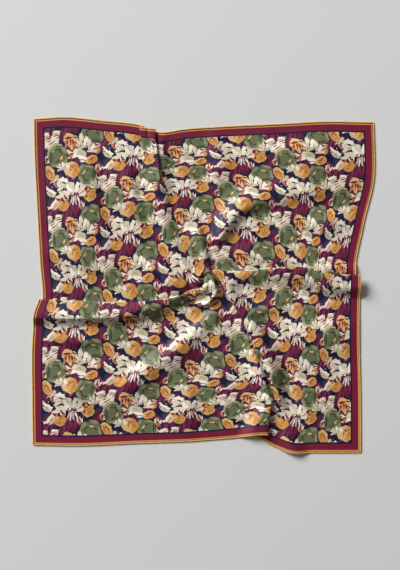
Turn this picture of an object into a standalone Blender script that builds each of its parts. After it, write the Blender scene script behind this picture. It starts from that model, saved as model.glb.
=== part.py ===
"""A 90 cm silk square scarf laid flat, with a swirl pinched up at its middle.

The cloth is worked out as one sheet. A point of the flat square (u east, v north) is first moved by
the pleats, which run from the middle to the four hems, then brought to the outline in which the
square lies, then turned by the twist of the swirl, and last lifted by the soft ridges.
"""
import math

import bpy
import numpy as np

MM = 0.001
NAME = "silk_square_scarf"

# Driving dimensions in mm. Tables are in mm too.
SIDE = 900.0                # finished square, outside of the rolled hems
WALL = 1.5                  # thickness of the cloth's solid
HEM_ROLL = 3.0              # diameter of the rolled hem
SEAM_GAP = 0.4              # clearance between panel and hem
LAYER_GAP = 4.2             # rise from one layer of a pleat to the next
TURN = 3.0                  # half width of a pleat's turned edge
SOFTNESS = 2.0              # how gently the cloth turns back at a pleat's edge
GAP_LEAD = 4.0              # how much short of overlapping the layers begin to part
GAP_RUN = 6.0               # length over which they part
HALF = SIDE / 2
PANEL_HALF = HALF - HEM_ROLL - SEAM_GAP

# The grid of the sheet, in mm: its step over a pleat and beyond, and each line's reach over its pleats.
FINE_STEP = 6.0
WIDE_STEP = 30.0
OVER_NORTH_SOUTH = (-42.5, 42.5)
OVER_WEST_EAST = (-89.0, 31.0)
BENDING_ROUNDS = 12

# The middle of the rectangle that the laid scarf covers becomes the origin.
MIDDLE_X = -0.4
MIDDLE_Y = 0.8

# The swirl: where it lies, how far it is turned and how fast the turn dies away.
SWIRL_X = 4.0
SWIRL_Y = 26.0
SWIRL_TURN = math.radians(60)
SWIRL_RADIUS = 34.0
SWIRL_POWER = 1.3

# The fold line from north to south. For each station v of the cloth: the line's own place u on the
# cloth and x where it lies.
NORTH_SOUTH_LINE = {
    "v":     (450, 371, 309, 241, 150, 90, 50, 20, -20, -80, -146, -193, -256, -300, -350, -400, -450),
    "cloth": (-140, -136, -128, -112, -80, -50, -24, 0, 32, 80, 118, 138, 163, 178, 178, 168, 160),
    "laid":  (-139.5, -134, -125, -108, -78, -48, -22, 4, 36, 82, 118, 137, 161, 174, 172, 158, 146),
}
# The fold line from west to east, with a station u, a place v on the cloth and y where it lies.
WEST_EAST_LINE = {
    "u":     (-450, -330, -230, -150, -80, -40, 0, 60, 110, 160, 220, 270, 330, 390, 450),
    "cloth": (-64, -64, -60, -48, -28, -4, 20, 26, 30, 36, 40, 36, 24, 19, 17),
    "laid":  (-54.5, -56, -54, -42, -22, 2, 26, 30, 34, 39, 42, 37, 22, 17, 15),
}

# Pleats. Each has its place beside the fold line, the side its top layer lies on (+1 the side of
# rising u or v), and rows along the line. take is the cloth that the pleat takes up, back the length
# of its middle layer, height its crest and fall the slope down behind it.
PLEATS = (
    {"name": "north_left", "across": "u", "side": 1, "rows": {
        "station": (450, 410, 370, 330, -450), "place": (-27.5, -27, -27, -27, -27),
        "take": (24, 18, 8, 0, 0), "back": (12, 14, 20, 24, 24),
        "height": (9, 8, 6, 0, 0), "fall": (16, 20, 26, 30, 30)}},
    {"name": "north_right", "across": "u", "side": -1, "rows": {
        "station": (450, 371, 309, 241, 150, 60, 20, -60, -120, -450),
        "place": (27.5, 24, 20, 15, 8, 2, 0, 0, 0, 0),
        "take": (24, 26, 22, 16, 12, 10, 4, 0, 0, 0), "back": (12, 20, 28, 34, 34, 34, 34, 34, 34, 34),
        "height": (9, 11, 11, 9, 7, 6, 2, 0, 0, 0), "fall": (16, 40, 50, 54, 50, 44, 36, 30, 30, 30)}},
    {"name": "south_over_west", "across": "u", "side": 1, "rows": {
        "station": (450, 120, 60, 20, -60, -120, -193, -256, -290, -325, -360, -390, -450),
        "place": (0,) * 13,
        "take": (0, 0, 0, 14, 36, 44, 50, 50, 38, 20, 6, 0, 0), "back": (34,) * 13,
        "height": (0, 0, 0, 10, 18, 18, 17, 16, 14, 9, 4, 0, 0),
        "fall": (30, 30, 30, 36, 44, 48, 50, 46, 44, 42, 40, 36, 30)}},
    {"name": "south_over_east", "across": "u", "side": -1, "rows": {
        "station": (450, -290, -325, -360, -400, -450), "place": (0,) * 6,
        "take": (0, 0, 12, 28, 52, 68), "back": (34,) * 6,
        "height": (0, 0, 6, 11, 14, 15), "fall": (40, 40, 44, 46, 46, 44)}},
    {"name": "west_and_east", "across": "v", "side": -1, "rows": {
        "station": (-450, -330, -230, -150, -80, -30, 0, 60, 110, 160, 220, 270, 330, 390, 450),
        "place": (0,) * 15,
        "take": (84, 80, 68, 52, 38, 24, 18, 24, 36, 44, 52, 58, 62, 66, 67), "back": (40,) * 15,
        "height": (11, 15, 17, 18, 17, 12, 9, 11, 12, 13, 15, 17, 19, 21, 22),
        "fall": (22, 26, 30, 32, 34, 36, 36, 40, 44, 44, 42, 40, 38, 36, 34)}},
)

# Where each hem lies: a station along the side and the place across it.
OUTLINE = {
    "north": {"station": (-450, -375, -275, -190, -160, -124, -88, -24, 65, 212, 330, 450),
              "lies": (418, 422, 413, 403.5, 396.5, 391.5, 384, 392, 398, 405, 411, 409.5)},
    "south": {"station": (-450, -334, -187, -38, 50, 142, 176, 225, 263, 330, 450),
              "lies": (-400.5, -402, -396, -390, -383, -374, -380, -404, -418, -419, -419)},
    "west": {"station": (-450, -352, -175, -116, -85, -43, 0, 83, 230, 348, 450),
             "lies": (-428, -429, -428, -422, -411, -407, -403, -409, -417, -423, -425)},
    "east": {"station": (-450, -275, -157, -39, -3, 37, 64, 189, 305, 386, 450),
             "lies": (395, 394, 391, 392, 391, 384, 382, 402, 428, 429, 427)},
}
OUTLINE_REACH = 260.0       # how far in from a hem its outline is followed

# Soft ridges that lie between the pleats, by their crest's route over the laid cloth. height is the
# crest's, and left and right are the reach of each flank, seen along the route.
RIDGES = (
    {"name": "north_east", "x": (20, 40, 62, 86, 140, 200, 266, 340, 425),
     "y": (92, 118, 152, 186, 212, 226, 238, 240, 246),
     "height": (0, 14, 18, 17, 13, 11, 9, 6, 0),
     "left": (20, 36, 52, 64, 76, 84, 88, 90, 90), "right": (18, 19, 21, 25, 31, 36, 38, 42, 44)},
    {"name": "south_west", "x": (38, 22, -14, -76, -122, -190, -224),
     "y": (-38, -74, -110, -168, -194, -250, -310),
     "height": (0, 8, 11, 14, 14, 10, 0),
     "left": (20, 36, 48, 56, 58, 54, 46), "right": (20, 24, 28, 32, 34, 36, 36)},
    {"name": "north_west_pocket", "x": (-196, -160, -122, -92, -56, -36),
     "y": (150, 104, 58, 20, -10, -26),
     "height": (0, 4, 10, 15, 14, 0),
     "left": (24, 22, 20, 18, 16, 16), "right": (50, 54, 56, 50, 36, 24)},
)


def table(rows, key, column, at):
    """The column's value at each station: a smooth curve through the rows, with level ends."""
    stations = np.array(rows[key], dtype=float)
    values = np.array(rows[column], dtype=float)
    if stations[0] > stations[-1]:
        stations, values = stations[::-1], values[::-1]
    slopes = np.gradient(values, stations)
    slopes[0] = slopes[-1] = 0.0
    at = np.clip(at, stations[0], stations[-1])
    row = np.clip(np.searchsorted(stations, at, side="right") - 1, 0, len(stations) - 2)
    span = stations[row + 1] - stations[row]
    part = (at - stations[row]) / span
    return (values[row] * (1 + 2 * part) * (1 - part) ** 2
            + values[row + 1] * part ** 2 * (3 - 2 * part)
            + span * slopes[row] * part * (1 - part) ** 2
            - span * slopes[row + 1] * part ** 2 * (1 - part))


def step(part):
    """A soft step from 0 to 1 while part goes from 0 to 1."""
    part = np.clip(part, 0.0, 1.0)
    return part ** 2 * (3 - 2 * part)


def fold(across, along, pleat):
    """How far a pleat draws the cloth in at each point, and how high it lifts it.

    Across the pleat the cloth runs forward, back over the length of the middle layer, and forward
    again. It rises by a layer's gap at each turn, swells to its crest and falls behind it.
    """
    take, back, height, fall, place = (
        table(pleat["rows"], "station", column, along)
        for column in ("take", "back", "height", "fall", "place"))
    take, height, fall = np.maximum(take, 0), np.maximum(height, 0), np.maximum(fall, 10)
    distance = (across - place) * pleat["side"]
    far, near = distance + back / 2, distance - back / 2
    drawn = take * (np.hypot(far, SOFTNESS) - np.hypot(near, SOFTNESS)) / (2 * back) * pleat["side"]
    overlap = np.maximum(take - back, 0)
    gap = LAYER_GAP * step((take - back + GAP_LEAD) / GAP_RUN)
    swell = np.maximum(height - 2 * gap, 0)
    rise = (gap * step((far + TURN) / (2 * TURN)) + gap * step((near + TURN) / (2 * TURN))
            + swell * step(far / (back + overlap / 2 + GAP_RUN)))
    stay = 1 - step((near - overlap - TURN) / fall)
    return drawn, rise * stay


def ridge(x, y, rows):
    """Height of a soft ridge: a bell across its route, with its own reach on each flank."""
    best = np.full(x.shape, 1e9)
    along = np.zeros(x.shape)
    side = np.ones(x.shape)
    route = np.column_stack((rows["x"], rows["y"])).astype(float)
    for index in range(len(route) - 1):
        (ax, ay), (bx, by) = route[index], route[index + 1]
        length = math.hypot(bx - ax, by - ay)
        ux, uy = (bx - ax) / length, (by - ay) / length
        part = np.clip(((x - ax) * ux + (y - ay) * uy) / length, 0, 1)
        distance = np.hypot(x - ax - part * length * ux, y - ay - part * length * uy)
        nearer = distance < best
        best = np.where(nearer, distance, best)
        along = np.where(nearer, index + part, along)
        side = np.where(nearer, np.sign(ux * (y - ay) - uy * (x - ax)), side)
    stations = {"station": range(len(route)), **rows}
    height, left, right = (table(stations, "station", column, along)
                           for column in ("height", "left", "right"))
    return height * (1 - step(best / np.where(side > 0, left, right)))


def unfolded(u, v):
    """Where each point of the flat square lies once the pleats are laid, with its height."""
    line_u, line_x = (table(NORTH_SOUTH_LINE, "v", column, v) for column in ("cloth", "laid"))
    line_v, line_y = (table(WEST_EAST_LINE, "u", column, u) for column in ("cloth", "laid"))
    x, y = line_x + u - line_u, line_y + v - line_v
    lifts = []
    for pleat in PLEATS:
        if pleat["across"] == "u":
            drawn, lift = fold(u - line_u, v, pleat)
            x = x - drawn
        else:
            drawn, lift = fold(v - line_v, u, pleat)
            y = y - drawn
        lifts.append(lift)
    return x, y, sum(lift ** 3 for lift in lifts) ** (1 / 3)


def laid(u, v):
    """The middle of the cloth's wall, in mm, for each point of the flat square."""
    x, y, z = unfolded(u, v)
    ends = np.full(u.shape, HALF)
    x_moved, y_moved = x.copy(), y.copy()
    for hem, edge_u, edge_v, depth in (
            ("north", u, ends, HALF - v), ("south", u, -ends, HALF + v),
            ("west", -ends, v, HALF + u), ("east", ends, v, HALF - u)):
        edge_x, edge_y, _ = unfolded(edge_u, edge_v)
        near = 1 - step(depth / OUTLINE_REACH)
        if hem in ("north", "south"):
            y_moved += near * (table(OUTLINE[hem], "station", "lies", u) - edge_y)
        else:
            x_moved += near * (table(OUTLINE[hem], "station", "lies", v) - edge_x)
    reach = np.hypot(x_moved - SWIRL_X, y_moved - SWIRL_Y)
    turn = SWIRL_TURN * np.exp(-(reach / SWIRL_RADIUS) ** SWIRL_POWER)
    bearing = np.arctan2(y_moved - SWIRL_Y, x_moved - SWIRL_X) + turn
    x, y = SWIRL_X + reach * np.cos(bearing), SWIRL_Y + reach * np.sin(bearing)
    for rows in RIDGES:
        z = z + ridge(x, y, rows)
    return x - MIDDLE_X, y - MIDDLE_Y, z + WALL / 2


def spread(low, high):
    """Grid lines across a fold line: close together from low to high, over the pleat, and wide beyond.

    They are counted from the line, and run to the edges of a square whose line is at its middle.
    """
    over_pleat = np.linspace(low, high, round((high - low) / FINE_STEP) + 1)
    before = np.linspace(-PANEL_HALF, low, round((PANEL_HALF + low) / WIDE_STEP) + 1)
    beyond = np.linspace(high, PANEL_HALF, round((PANEL_HALF - high) / WIDE_STEP) + 1)
    return np.concatenate((before[:-1], over_pleat, beyond[1:]))


def shifted(offsets, line, low, high):
    """Carries grid lines with a fold line that isn't at the middle, and keeps both ends at the edges."""
    before = -PANEL_HALF + (offsets + PANEL_HALF) * (line + low + PANEL_HALF) / (low + PANEL_HALF)
    beyond = PANEL_HALF - (PANEL_HALF - offsets) * (PANEL_HALF - line - high) / (PANEL_HALF - high)
    return np.where(offsets < low, before, np.where(offsets > high, beyond, offsets + line))


def bent_grid():
    """The flat square's points on grid lines that follow both fold lines."""
    across_v, across_u = np.meshgrid(spread(*OVER_WEST_EAST), spread(*OVER_NORTH_SOUTH))
    u, v = across_u, across_v
    for _ in range(BENDING_ROUNDS):
        line_u = table(NORTH_SOUTH_LINE, "v", "cloth", v)
        line_v = table(WEST_EAST_LINE, "u", "cloth", u)
        u = shifted(across_u, line_u, *OVER_NORTH_SOUTH)
        v = shifted(across_v, line_v, *OVER_WEST_EAST)
    return u, v


def material(name, colour, roughness):
    finish = bpy.data.materials.new(name)
    finish.use_nodes = True
    shader = finish.node_tree.nodes["Principled BSDF"]
    shader.inputs["Base Color"].default_value = (*colour, 1.0)
    shader.inputs["Roughness"].default_value = roughness
    shader.inputs["Metallic"].default_value = 0.0
    return finish


def silk_panel(collection):
    """The printed square: one open sheet with the wall's thickness laid evenly on both faces."""
    u, v = bent_grid()
    points = np.stack(laid(u, v), axis=-1) * MM
    rows, columns = u.shape
    index = np.arange(rows * columns).reshape(rows, columns)
    faces = np.stack((index[:-1, :-1], index[1:, :-1], index[1:, 1:], index[:-1, 1:]), axis=-1)
    mesh = bpy.data.meshes.new("silk_panel")
    mesh.from_pydata(points.reshape(-1, 3).tolist(), [], faces.reshape(-1, 4).tolist())
    panel = bpy.data.objects.new("silk_panel", mesh)
    collection.objects.link(panel)
    mesh.materials.append(material("printed_silk_twill", (0.23, 0.12, 0.13), 0.38))
    mesh.shade_smooth()
    wall = panel.modifiers.new("wall", "SOLIDIFY")
    wall.thickness = WALL * MM
    wall.offset = 0.0
    return panel


def hem_route(u, v, inward, beyond):
    """The panel's edge moved out by the seam's gap and half a roll, and set on the roll's underside.

    Out is the way the sheet runs off its edge, square to the edge, so it follows every layer of a
    pleat. inward is a short step into the sheet, and beyond lengthens both ends past the corners.
    """
    edge = np.stack(laid(u, v), axis=-1)
    inner = np.stack(laid(u + inward[0], v + inward[1]), axis=-1)
    along = np.gradient(edge, axis=0)
    along /= np.linalg.norm(along, axis=1, keepdims=True)
    out = edge - inner
    out -= along * np.sum(out * along, axis=1, keepdims=True)
    out /= np.linalg.norm(out, axis=1, keepdims=True)
    route = edge + out * (SEAM_GAP + HEM_ROLL / 2)
    route[:, 2] += (HEM_ROLL - WALL) / 2
    route[0] -= along[0] * beyond
    route[-1] += along[-1] * beyond
    return route


def rolled_hem(collection, name, points):
    """A roll of cloth along one side: a round tube on its route."""
    tube = bpy.data.curves.new(name, "CURVE")
    tube.dimensions = "3D"
    tube.bevel_depth = HEM_ROLL / 2 * MM
    tube.bevel_resolution = 1
    tube.use_fill_caps = True
    tube.twist_mode = "Z_UP"
    spline = tube.splines.new("POLY")
    spline.points.add(len(points) - 1)
    for point, place in zip(spline.points, points * MM):
        point.co = (*place, 1.0)
    hem = bpy.data.objects.new(name, tube)
    collection.objects.link(hem)
    tube.materials.append(material(name + "_ochre_silk", (0.62, 0.31, 0.07), 0.45))
    return hem


def hems(collection):
    """North and south hems run the full side, and west and east ones end inside them."""
    u, v = bent_grid()
    overhang = HALF - PANEL_HALF
    for name, side, inward, beyond in (
            ("hem_north", np.s_[:, -1], (0, -1), overhang), ("hem_south", np.s_[:, 0], (0, 1), overhang),
            ("hem_east", np.s_[-1, :], (-1, 0), 0.0), ("hem_west", np.s_[0, :], (1, 0), 0.0)):
        rolled_hem(collection, name, hem_route(u[side], v[side], inward, beyond))


for item in list(bpy.data.objects):
    bpy.data.objects.remove(item, do_unlink=True)
scarf = bpy.data.collections.new(NAME)
bpy.context.scene.collection.children.link(scarf)
silk_panel(scarf)
hems(scarf)
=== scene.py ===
"""Silk square scarf: the looks of a 90 cm printed twill square, laid flat with a swirl at its middle."""
import math

import bpy
import numpy as np
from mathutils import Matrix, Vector


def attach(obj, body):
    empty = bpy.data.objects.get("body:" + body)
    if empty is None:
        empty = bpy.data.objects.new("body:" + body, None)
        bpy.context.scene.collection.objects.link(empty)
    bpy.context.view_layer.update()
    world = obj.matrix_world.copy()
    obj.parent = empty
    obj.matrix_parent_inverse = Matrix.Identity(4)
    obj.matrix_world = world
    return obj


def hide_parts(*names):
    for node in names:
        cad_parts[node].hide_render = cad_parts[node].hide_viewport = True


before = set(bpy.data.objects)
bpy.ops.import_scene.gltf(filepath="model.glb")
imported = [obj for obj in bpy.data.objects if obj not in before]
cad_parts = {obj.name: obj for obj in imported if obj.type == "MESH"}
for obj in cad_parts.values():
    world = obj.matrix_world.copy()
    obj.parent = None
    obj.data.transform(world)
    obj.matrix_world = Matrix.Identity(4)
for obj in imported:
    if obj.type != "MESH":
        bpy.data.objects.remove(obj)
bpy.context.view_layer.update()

# ---------------------------------------------------------------------------------------------
# The square: one piece of silk twill, woven flat and screen-printed with acid dyes, 900 mm a side.
# It is limp and slippery: pinched at its middle and turned, it falls in four pleats that run to the
# hems, with soft ridges between them. Sizes are in millimetres.
# ---------------------------------------------------------------------------------------------
MM = 0.001
SIDE = 900.0
HALF = SIDE / 2
HEM_ROLL = 3.0
SEAM_GAP = 0.4
PANEL_HALF = HALF - HEM_ROLL - SEAM_GAP
# Where a pleat laps over itself its layers lie a gap apart. The gap opens over a run that starts a
# little before the lap, and a turn rises within its own width to each side of a softened edge.
LAYER_GAP = 4.2
GAP_LEAD = 4.0
GAP_RUN = 6.0
TURN = 3.0
SOFTNESS = 2.0
SHORTEST_FALL = 10.0
# The middle of the laid square, and the swirl: its place, its turn at the very middle and its radius.
MIDDLE_X = -0.4
MIDDLE_Y = 0.8
SWIRL_X = 4.0
SWIRL_Y = 26.0
SWIRL_TURN = math.radians(60)
SWIRL_RADIUS = 34.0
SWIRL_POWER = 1.3

# Each fold line: for a station of the flat cloth, the line's place on the cloth and where it lies.
NORTH_SOUTH_LINE = {
    "v":     (450, 371, 309, 241, 150, 90, 50, 20, -20, -80, -146, -193, -256, -300, -350, -400, -450),
    "cloth": (-140, -136, -128, -112, -80, -50, -24, 0, 32, 80, 118, 138, 163, 178, 178, 168, 160),
    "laid":  (-139.5, -134, -125, -108, -78, -48, -22, 4, 36, 82, 118, 137, 161, 174, 172, 158, 146),
}
WEST_EAST_LINE = {
    "u":     (-450, -330, -230, -150, -80, -40, 0, 60, 110, 160, 220, 270, 330, 390, 450),
    "cloth": (-64, -64, -60, -48, -28, -4, 20, 26, 30, 36, 40, 36, 24, 19, 17),
    "laid":  (-54.5, -56, -54, -42, -22, 2, 26, 30, 34, 39, 42, 37, 22, 17, 15),
}
# Each pleat, by station along its fold line: its place beside the line, how much cloth it takes, how
# long its middle layer is, how high it stands and how far it falls. Its side is where its top lies.
PLEATS = (
    {"name": "north_left", "across": "u", "side": 1, "rows": {
        "station": (450, 410, 370, 330, -450), "place": (-27.5, -27, -27, -27, -27),
        "take": (24, 18, 8, 0, 0), "back": (12, 14, 20, 24, 24),
        "height": (9, 8, 6, 0, 0), "fall": (16, 20, 26, 30, 30)}},
    {"name": "north_right", "across": "u", "side": -1, "rows": {
        "station": (450, 371, 309, 241, 150, 60, 20, -60, -120, -450),
        "place": (27.5, 24, 20, 15, 8, 2, 0, 0, 0, 0),
        "take": (24, 26, 22, 16, 12, 10, 4, 0, 0, 0), "back": (12, 20, 28, 34, 34, 34, 34, 34, 34, 34),
        "height": (9, 11, 11, 9, 7, 6, 2, 0, 0, 0), "fall": (16, 40, 50, 54, 50, 44, 36, 30, 30, 30)}},
    {"name": "south_over_west", "across": "u", "side": 1, "rows": {
        "station": (450, 120, 60, 20, -60, -120, -193, -256, -290, -325, -360, -390, -450),
        "place": (0,) * 13,
        "take": (0, 0, 0, 14, 36, 44, 50, 50, 38, 20, 6, 0, 0), "back": (34,) * 13,
        "height": (0, 0, 0, 10, 18, 18, 17, 16, 14, 9, 4, 0, 0),
        "fall": (30, 30, 30, 36, 44, 48, 50, 46, 44, 42, 40, 36, 30)}},
    {"name": "south_over_east", "across": "u", "side": -1, "rows": {
        "station": (450, -290, -325, -360, -400, -450), "place": (0,) * 6,
        "take": (0, 0, 12, 28, 52, 68), "back": (34,) * 6,
        "height": (0, 0, 6, 11, 14, 15), "fall": (40, 40, 44, 46, 46, 44)}},
    {"name": "west_and_east", "across": "v", "side": -1, "rows": {
        "station": (-450, -330, -230, -150, -80, -30, 0, 60, 110, 160, 220, 270, 330, 390, 450),
        "place": (0,) * 15,
        "take": (84, 80, 68, 52, 38, 24, 18, 24, 36, 44, 52, 58, 62, 66, 67), "back": (40,) * 15,
        "height": (11, 15, 17, 18, 17, 12, 9, 11, 12, 13, 15, 17, 19, 21, 22),
        "fall": (22, 26, 30, 32, 34, 36, 36, 40, 44, 44, 42, 40, 38, 36, 34)}},
)
# Where each hem lies, by station along it, and how far in from the hems the cloth is brought to it.
OUTLINE = {
    "north": {"station": (-450, -375, -275, -190, -160, -124, -88, -24, 65, 212, 330, 450),
              "lies": (418, 422, 413, 403.5, 396.5, 391.5, 384, 392, 398, 405, 411, 409.5)},
    "south": {"station": (-450, -334, -187, -38, 50, 142, 176, 225, 263, 330, 450),
              "lies": (-400.5, -402, -396, -390, -383, -374, -380, -404, -418, -419, -419)},
    "west": {"station": (-450, -352, -175, -116, -85, -43, 0, 83, 230, 348, 450),
             "lies": (-428, -429, -428, -422, -411, -407, -403, -409, -417, -423, -425)},
    "east": {"station": (-450, -275, -157, -39, -3, 37, 64, 189, 305, 386, 450),
             "lies": (395, 394, 391, 392, 391, 384, 382, 402, 428, 429, 427)},
}
OUTLINE_REACH = 260.0
# Soft ridges between the pleats, with their height and their reach to the left and right of the route.
RIDGES = (
    {"name": "north_east", "x": (20, 40, 62, 86, 140, 200, 266, 340, 425),
     "y": (92, 118, 152, 186, 212, 226, 238, 240, 246),
     "height": (0, 14, 18, 17, 13, 11, 9, 6, 0),
     "left": (20, 36, 52, 64, 76, 84, 88, 90, 90), "right": (18, 19, 21, 25, 31, 36, 38, 42, 44)},
    {"name": "south_west", "x": (38, 22, -14, -76, -122, -190, -224),
     "y": (-38, -74, -110, -168, -194, -250, -310),
     "height": (0, 8, 11, 14, 14, 10, 0),
     "left": (20, 36, 48, 56, 58, 54, 46), "right": (20, 24, 28, 32, 34, 36, 36)},
    {"name": "north_west_pocket", "x": (-196, -160, -122, -92, -56, -36),
     "y": (150, 104, 58, 20, -10, -26),
     "height": (0, 4, 10, 15, 14, 0),
     "left": (24, 22, 20, 18, 16, 16), "right": (50, 54, 56, 50, 36, 24)},
)
# The silk's own creases and swells, in the same form: most rise from nothing at the ends of their
# route. Those over the far sides of the panels are like those nearer the swirl.
CREASES = (
    {"name": "curl", "x": (-31, -6, 24, 32, 24, 7), "y": (-42, -52, -37, -12, 13, 28),
     "height": (0, 11, 15, 17, 15, 0), "left": (14, 16, 17, 17, 15, 12), "right": (9, 8, 8, 8, 8, 8)},
    {"name": "inner_curl", "x": (-6, -14, -18), "y": (38, 12, -18),
     "height": (0, 15, 0), "left": (7, 8, 7), "right": (20, 24, 20)},
    {"name": "west_pleat_foot", "x": (-430, -330, -230, -130, -56), "y": (-80, -82, -80, -74, -68),
     "height": (4, 7, 7, 8, 0), "left": (44, 48, 44, 36, 24), "right": (8, 8, 8, 8, 8)},
    {"name": "north_pleat_side", "x": (-108, -101, -97, -92), "y": (396, 330, 240, 160),
     "height": (0, 8, 7, 0), "left": (20, 22, 22, 20), "right": (36, 44, 44, 36)},
    {"name": "east_pleat_side", "x": (236, 310, 424), "y": (46, 42, 36),
     "height": (0, 8, 5), "left": (20, 22, 22), "right": (36, 38, 36)},
    {"name": "south_east_slope", "x": (96, 132, 150), "y": (-40, -180, -330),
     "height": (0, 9, 0), "left": (150, 250, 200), "right": (30, 34, 30)},
    {"name": "south_pleat_hollow", "x": (86, 104, 134, 162, 178), "y": (-66, -112, -190, -280, -350),
     "height": (0, 6, 6, 10, 0), "left": (9, 9, 11, 13, 12), "right": (24, 30, 44, 44, 36)},
    {"name": "south_pleat_lip", "x": (106, 122, 158, 188, 204), "y": (-70, -112, -190, -280, -330),
     "height": (0, 5, 5, 6, 0), "left": (24, 28, 34, 32, 28), "right": (8, 8, 8, 8, 8)},
    {"name": "north_west_crease_above", "x": (-134, -116, -83, -47, -20), "y": (90, 60, 29, -1, -13),
     "height": (0, 5, 10, 10, 0), "left": (22, 26, 26, 22, 14), "right": (6, 6, 7, 7, 6)},
    {"name": "north_west_crease_below", "x": (-144, -126, -93, -55, -26), "y": (80, 50, 17, -13, -26),
     "height": (0, 5, 9, 9, 0), "left": (6, 6, 7, 7, 6), "right": (24, 28, 26, 22, 14)},
    {"name": "south_hem_lift", "x": (194, 212, 226), "y": (-300, -366, -426),
     "height": (0, 8, 12), "left": (32, 40, 44), "right": (30, 34, 36)},
    {"name": "north_east_slope", "x": (186, 250, 300), "y": (396, 300, 196),
     "height": (0, 8, 0), "left": (120, 150, 110), "right": (50, 54, 40)},
    {"name": "beside_swirl", "x": (-18, -10, 4, 12, 14), "y": (170, 128, 84, 50, 24),
     "height": (0, 11, 14, 11, 0), "left": (10, 10, 11, 10, 8), "right": (44, 50, 48, 34, 22)},
    {"name": "north_west_swell", "x": (-300, -276, -232), "y": (404, 210, 10),
     "height": (0, 11, 0), "left": (40, 34, 40), "right": (110, 140, 120)},
    {"name": "north_west_fold", "x": (-206, -176, -136), "y": (372, 224, 96),
     "height": (0, 9, 0), "left": (24, 22, 18), "right": (80, 84, 60)},
    {"name": "north_west_dip", "x": (-282, -206, -136), "y": (216, 132, 66),
     "height": (0, 5, 0), "left": (40, 34, 26), "right": (26, 16, 12)},
    {"name": "west_fold", "x": (-418, -330, -210), "y": (100, 60, 18),
     "height": (0, 8, 0), "left": (80, 90, 60), "right": (26, 22, 20)},
    {"name": "north_fold", "x": (16, 30, 24), "y": (402, 300, 190),
     "height": (0, 9, 0), "left": (50, 60, 40), "right": (26, 26, 26)},
    {"name": "north_east_swell", "x": (60, 196, 390), "y": (372, 336, 356),
     "height": (0, 10, 0), "left": (36, 34, 36), "right": (80, 90, 80)},
    {"name": "east_fold", "x": (236, 306, 400), "y": (166, 156, 168),
     "height": (0, 9, 0), "left": (34, 36, 36), "right": (40, 44, 44)},
    {"name": "middle_east_fold", "x": (58, 116, 172, 244), "y": (88, 78, 60, 62),
     "height": (0, 7, 6, 0), "left": (28, 34, 36, 30), "right": (12, 14, 16, 18)},
    {"name": "east_of_swirl", "x": (44, 66, 90), "y": (22, 2, -30),
     "height": (0, 7, 0), "left": (26, 30, 26), "right": (14, 16, 16)},
    {"name": "south_east_fold", "x": (88, 148, 236), "y": (-78, -62, -44),
     "height": (0, 7, 0), "left": (36, 40, 34), "right": (18, 18, 20)},
    {"name": "south_of_swirl", "x": (14, 38, 60, 84), "y": (-66, -112, -162, -232),
     "height": (0, 9, 7, 0), "left": (18, 20, 24, 26), "right": (34, 36, 38, 36)},
    {"name": "east_swell", "x": (206, 300, 412), "y": (-92, -112, -96),
     "height": (0, 10, 0), "left": (36, 36, 40), "right": (100, 116, 90)},
    {"name": "south_east_swell", "x": (196, 250, 290), "y": (-150, -270, -400),
     "height": (0, 10, 0), "left": (90, 110, 90), "right": (30, 32, 34)},
    {"name": "south_fold", "x": (-64, -34, -36), "y": (-206, -300, -400),
     "height": (0, 9, 0), "left": (26, 26, 28), "right": (70, 76, 60)},
    {"name": "south_west_swell", "x": (-404, -306, -190), "y": (-262, -276, -372),
     "height": (0, 10, 0), "left": (100, 110, 80), "right": (34, 32, 34)},
    {"name": "west_south_fold", "x": (-412, -300, -190), "y": (-126, -140, -128),
     "height": (0, 8, 0), "left": (44, 50, 40), "right": (24, 22, 22)},
)


def table(rows, key, column, at):
    """The column's value at each station: a curve through the rows, cubic from one row to the next.

    Its slope at a row is the mean one over the rows on both sides, and it is level at both ends.
    """
    stations = np.array(rows[key], dtype=float)
    values = np.array(rows[column], dtype=float)
    if stations[0] > stations[-1]:
        stations, values = stations[::-1], values[::-1]
    slopes = np.gradient(values, stations)
    slopes[0] = slopes[-1] = 0.0
    at = np.clip(at, stations[0], stations[-1])
    row = np.clip(np.searchsorted(stations, at, side="right") - 1, 0, len(stations) - 2)
    span = stations[row + 1] - stations[row]
    part = (at - stations[row]) / span
    return (values[row] * (1 + 2 * part) * (1 - part) ** 2
            + values[row + 1] * part ** 2 * (3 - 2 * part)
            + span * slopes[row] * part * (1 - part) ** 2
            - span * slopes[row + 1] * part ** 2 * (1 - part))


def step(part):
    """A soft step from 0 to 1 while part goes from 0 to 1: three squares less two cubes."""
    part = np.clip(part, 0.0, 1.0)
    return part ** 2 * (3 - 2 * part)


def fold(across, along, pleat):
    """How far a pleat draws the cloth in at each point, and how high it lifts it.

    Across the pleat the cloth runs forward, back over the length of the middle layer, and forward
    again: it is drawn in by the take times the part of that layer passed, half of it to each side. It
    rises by a layer's gap at each turn, swells to its crest and falls behind it, by soft steps.
    """
    take, back, height, fall, place = (
        table(pleat["rows"], "station", column, along)
        for column in ("take", "back", "height", "fall", "place"))
    take, height, fall = np.maximum(take, 0), np.maximum(height, 0), np.maximum(fall, SHORTEST_FALL)
    distance = (across - place) * pleat["side"]
    far, near = distance + back / 2, distance - back / 2
    drawn = take * (np.hypot(far, SOFTNESS) - np.hypot(near, SOFTNESS)) / (2 * back) * pleat["side"]
    overlap = np.maximum(take - back, 0)
    gap = LAYER_GAP * step((take - back + GAP_LEAD) / GAP_RUN)
    swell = np.maximum(height - 2 * gap, 0)
    rise = (gap * step((far + TURN) / (2 * TURN)) + gap * step((near + TURN) / (2 * TURN))
            + swell * step(far / (back + overlap / 2 + GAP_RUN)))
    stay = 1 - step((near - overlap - TURN) / fall)
    return drawn, rise * stay


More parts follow.
